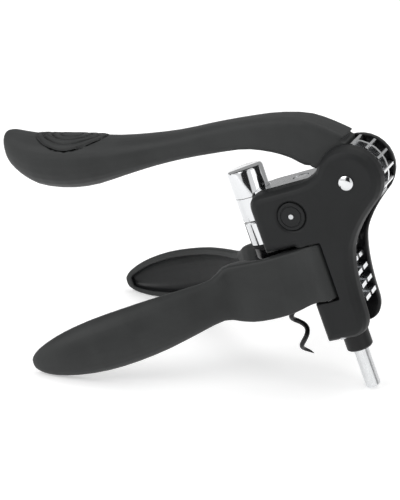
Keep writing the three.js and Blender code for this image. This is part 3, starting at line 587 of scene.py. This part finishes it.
def makeCamera(settings):
    data = bpy.data.cameras.new("camera")
    data.sensor_width = settings["sensor"]
    data.lens = settings["lens"]
    data.clip_start, data.clip_end = settings["clip"]
    camera = bpy.data.objects.new("camera", data)
    bpy.context.scene.collection.objects.link(camera)
    back = direction(*settings["back"]).normalized()
    right = direction(*settings["up"]).cross(back).normalized()
    up = back.cross(right).normalized()
    camera.rotation_mode = "QUATERNION"
    camera.rotation_quaternion = Matrix((right, up, back)).transposed().to_quaternion()
    camera.location = place(*settings["place"])
    bpy.context.scene.camera = camera


makeCamera(cameraSettings)
print("camera made")


paperFloor = {"size": 14.0, "colour": (0.86, 0.86, 0.86), "fleck": 0.985, "glow": 0.36}


def makeFloor(settings):
    mesh = bpy.data.meshes.new("studioFloor")
    half = settings["size"] / 2
    build = bmesh.new()
    corners = ((-half, -half), (half, -half), (half, half), (-half, half))
    build.faces.new([build.verts.new((x, y, 0)) for x, y in corners])
    build.to_mesh(mesh)
    build.free()
    floor = bpy.data.objects.new("studioFloor", mesh)
    bpy.context.scene.collection.objects.link(floor)
    material, tree, shader = newMaterial("floorPaper")
    coordinates = addNode(tree, "ShaderNodeTexCoord").outputs["Object"]
    paper = addNode(tree, "ShaderNodeTexNoise", {"Vector": coordinates, "Scale": 300.0, "Detail": 2.0})
    colour = settings["colour"]
    fleck = [channel * settings["fleck"] for channel in colour]
    tree.links.new(mixColours(tree, paper.outputs[0], (*fleck, 1), (*colour, 1)),
                   shader.inputs["Base Color"])
    shader.inputs["Roughness"].default_value = 0.95
    shader.inputs["Emission Color"].default_value = (1, 1, 1, 1)
    shader.inputs["Emission Strength"].default_value = settings["glow"]
    shader.inputs["Specular IOR Level"].default_value = 0.1
    mesh.materials.append(material)


lightAim = (0, 0, 0.1)
lights = {  # place and size in metres
    "keyLight": {"place": (-0.9, -1.0, 1.1), "size": (1.0, 1.0), "power": 9.0},
    "fillLight": {"place": (1.3, -0.6, 0.7), "size": (0.8, 0.8), "power": 1.5},
    "topLight": {"place": (0.1, 0.5, 1.5), "size": (1.2, 0.8), "power": 4.0},
}


def makeLight(name, settings):
    data = bpy.data.lights.new(name, "AREA")
    data.shape = "RECTANGLE"
    data.size, data.size_y = settings["size"]
    data.energy = settings["power"]
    light = bpy.data.objects.new(name, data)
    light.location = settings["place"]
    light.rotation_mode = "QUATERNION"
    light.rotation_quaternion = (Vector(lightAim) - Vector(settings["place"])).to_track_quat("-Z", "Y")
    bpy.context.scene.collection.objects.link(light)


surround = {
    "strength": 0.92, "flagTop": 0.75, "flagTopFade": 0.1,
    # first and last angle round from where the camera stands, tone, and how softly the edge fades
    "flags": ((-34.0, 2.0, 0.03, 0.01), (56.0, 82.0, 0.05, 0.012), (104.0, 256.0, 0.42, 0.16)),
}


def makeWorld(settings):
    # White to the camera. Dark flags round the horizon give the bright metal something to mirror.
    world = bpy.data.worlds.new("studio")
    bpy.context.scene.world = world
    world.use_nodes = True
    tree = world.node_tree
    tree.nodes.clear()
    output = tree.nodes.new("ShaderNodeOutputWorld")
    look = addNode(tree, "ShaderNodeTexCoord").outputs["Generated"]
    parts = addNode(tree, "ShaderNodeSeparateXYZ", {0: look})
    back = direction(*cameraSettings["back"])
    middle = math.atan2(back.y, back.x)
    flat = addNode(tree, "ShaderNodeVectorMath", {
        0: addNode(tree, "ShaderNodeCombineXYZ", {0: parts.outputs[0], 1: parts.outputs[1]}).outputs[0],
    }, operation="NORMALIZE").outputs[0]
    top, topFade = settings["flagTop"], settings["flagTopFade"]
    below = spread(tree, parts.outputs[2], 1.0, 0.0, top - topFade, top + topFade)
    seen = addNode(tree, "ShaderNodeLightPath").outputs["Is Camera Ray"]
    unseen = maths(tree, "SUBTRACT", 1.0, seen)
    cover = maths(tree, "MULTIPLY", below, unseen)
    colour = (1, 1, 1, 1)
    for first, last, tone, fade in settings["flags"]:
        centre = middle + math.radians((first + last) / 2)
        edge = math.cos(math.radians((last - first) / 2))
        towards = addNode(tree, "ShaderNodeVectorMath", {
            0: flat, 1: (math.cos(centre), math.sin(centre), 0.0)}, operation="DOT_PRODUCT")
        within = spread(tree, towards.outputs["Value"], 0.0, 1.0, edge - fade, edge + fade)
        flag = maths(tree, "MULTIPLY", within, cover)
        colour = mixColours(tree, flag, colour, (tone, tone, tone, 1))
    background = addNode(tree, "ShaderNodeBackground", {"Color": colour, "Strength": settings["strength"]})
    tree.links.new(background.outputs[0], output.inputs["Surface"])


makeFloor(paperFloor)
makeWorld(surround)
for name, settings in lights.items():
    makeLight(name, settings)
bpy.context.scene.view_settings.view_transform = "Standard"
print("floor and light made")
